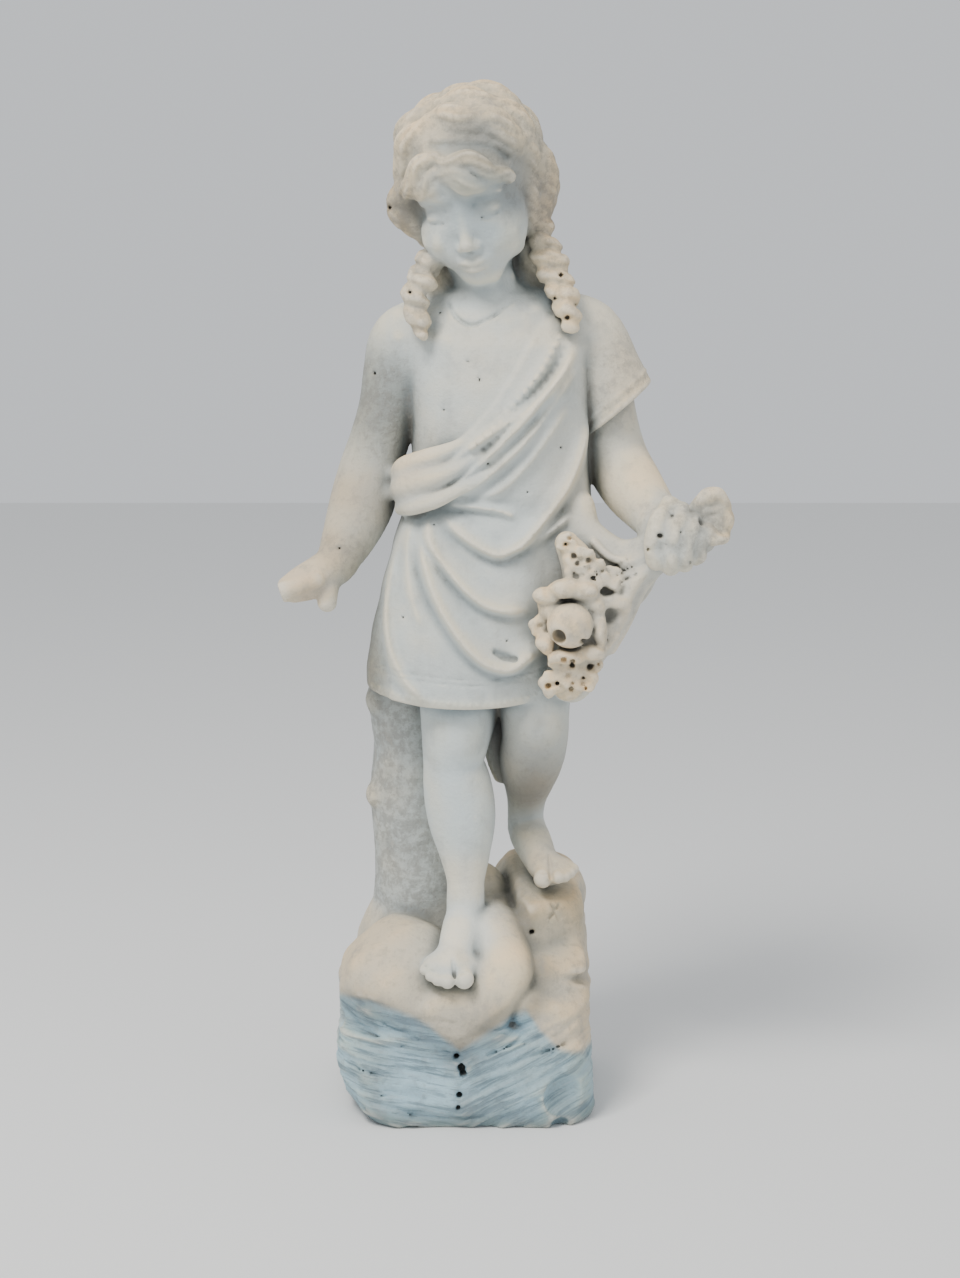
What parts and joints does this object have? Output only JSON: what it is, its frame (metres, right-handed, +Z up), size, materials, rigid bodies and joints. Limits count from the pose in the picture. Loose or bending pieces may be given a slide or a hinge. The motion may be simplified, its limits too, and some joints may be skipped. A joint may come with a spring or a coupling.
{
  "type": "marble garden statue of a child",
  "caption": "Standing child in a short draped tunic holding up a cloth full of flowers, with tree stump and rocky base, carved from one block of marble.",
  "frame": {"origin": "middle of the base's plan, on the flat underside", "axes": "+Z up, -Y the way the child faces, +X to the child's left"},
  "size_m": [0.441, 0.2541, 1.0119],
  "materials": {
    "marble": "weathered white marble, honed and worn, with grime in the hollows"
  },
  "bodies": {
    "root": {"statue": "marble"}
  },
  "joints": []
}
